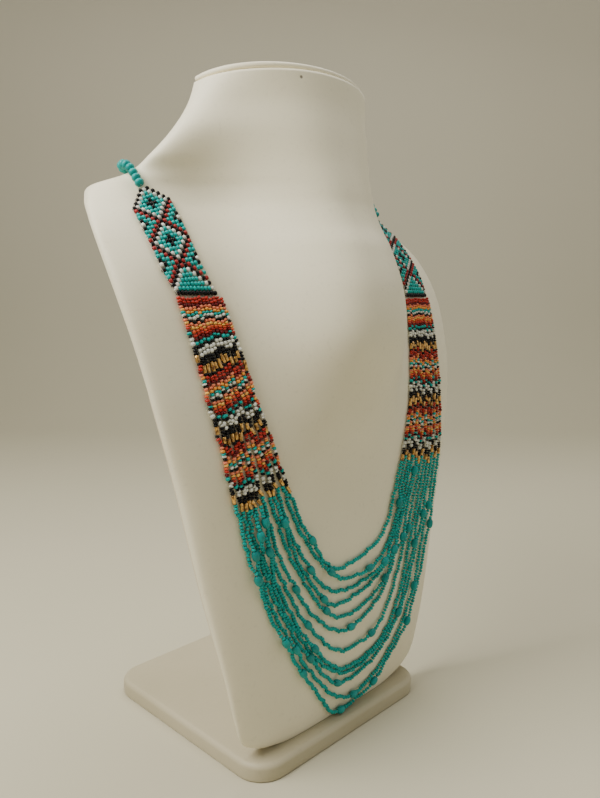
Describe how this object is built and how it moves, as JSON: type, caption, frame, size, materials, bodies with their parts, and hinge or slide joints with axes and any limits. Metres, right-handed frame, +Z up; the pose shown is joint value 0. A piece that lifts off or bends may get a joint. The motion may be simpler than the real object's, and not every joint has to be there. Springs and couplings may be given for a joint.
{
  "type": "long beaded necklace on neck bust",
  "caption": "Long multi-strand seed bead necklace with woven diamond bands, worn by a plain white neck bust on a square base.",
  "frame": {"origin": "on the base plate's underside, below the middle of the bust", "axes": "+Z up, -Y towards the front of the bust, +X to the right seen from the front"},
  "size_m": [0.252, 0.1628, 0.3726],
  "materials": {
    "base": "matte grained white leatherette",
    "bust": "matte grained white leatherette",
    "panel": "matte grained white leatherette",
    "lid": "matte grained white leatherette",
    "thread": "waxed thread",
    "round_bead": "glossy opaque turquoise glass",
    "band": "glossy opaque glass beads in a woven chart",
    "strand": "glossy opaque glass seed beads",
    "oval_bead": "glossy opaque turquoise glass"
  },
  "bodies": {
    "root": {"base_plate": "base", "bust_form": "bust", "back_panel": "panel", "neck_lid": "lid", "neck_thread": "thread", "neck_beads": "round_bead", "band_left": "band", "band_right": "band", "strand_01": "strand", "strand_02": "strand", "strand_03": "strand", "strand_04": "strand", "strand_05": "strand", "strand_06": "strand", "strand_07": "strand", "strand_08": "strand", "strand_09": "strand", "strand_10": "strand", "strand_11": "strand", "strand_12": "strand", "oval_beads": "oval_bead"}
  },
  "joints": []
}
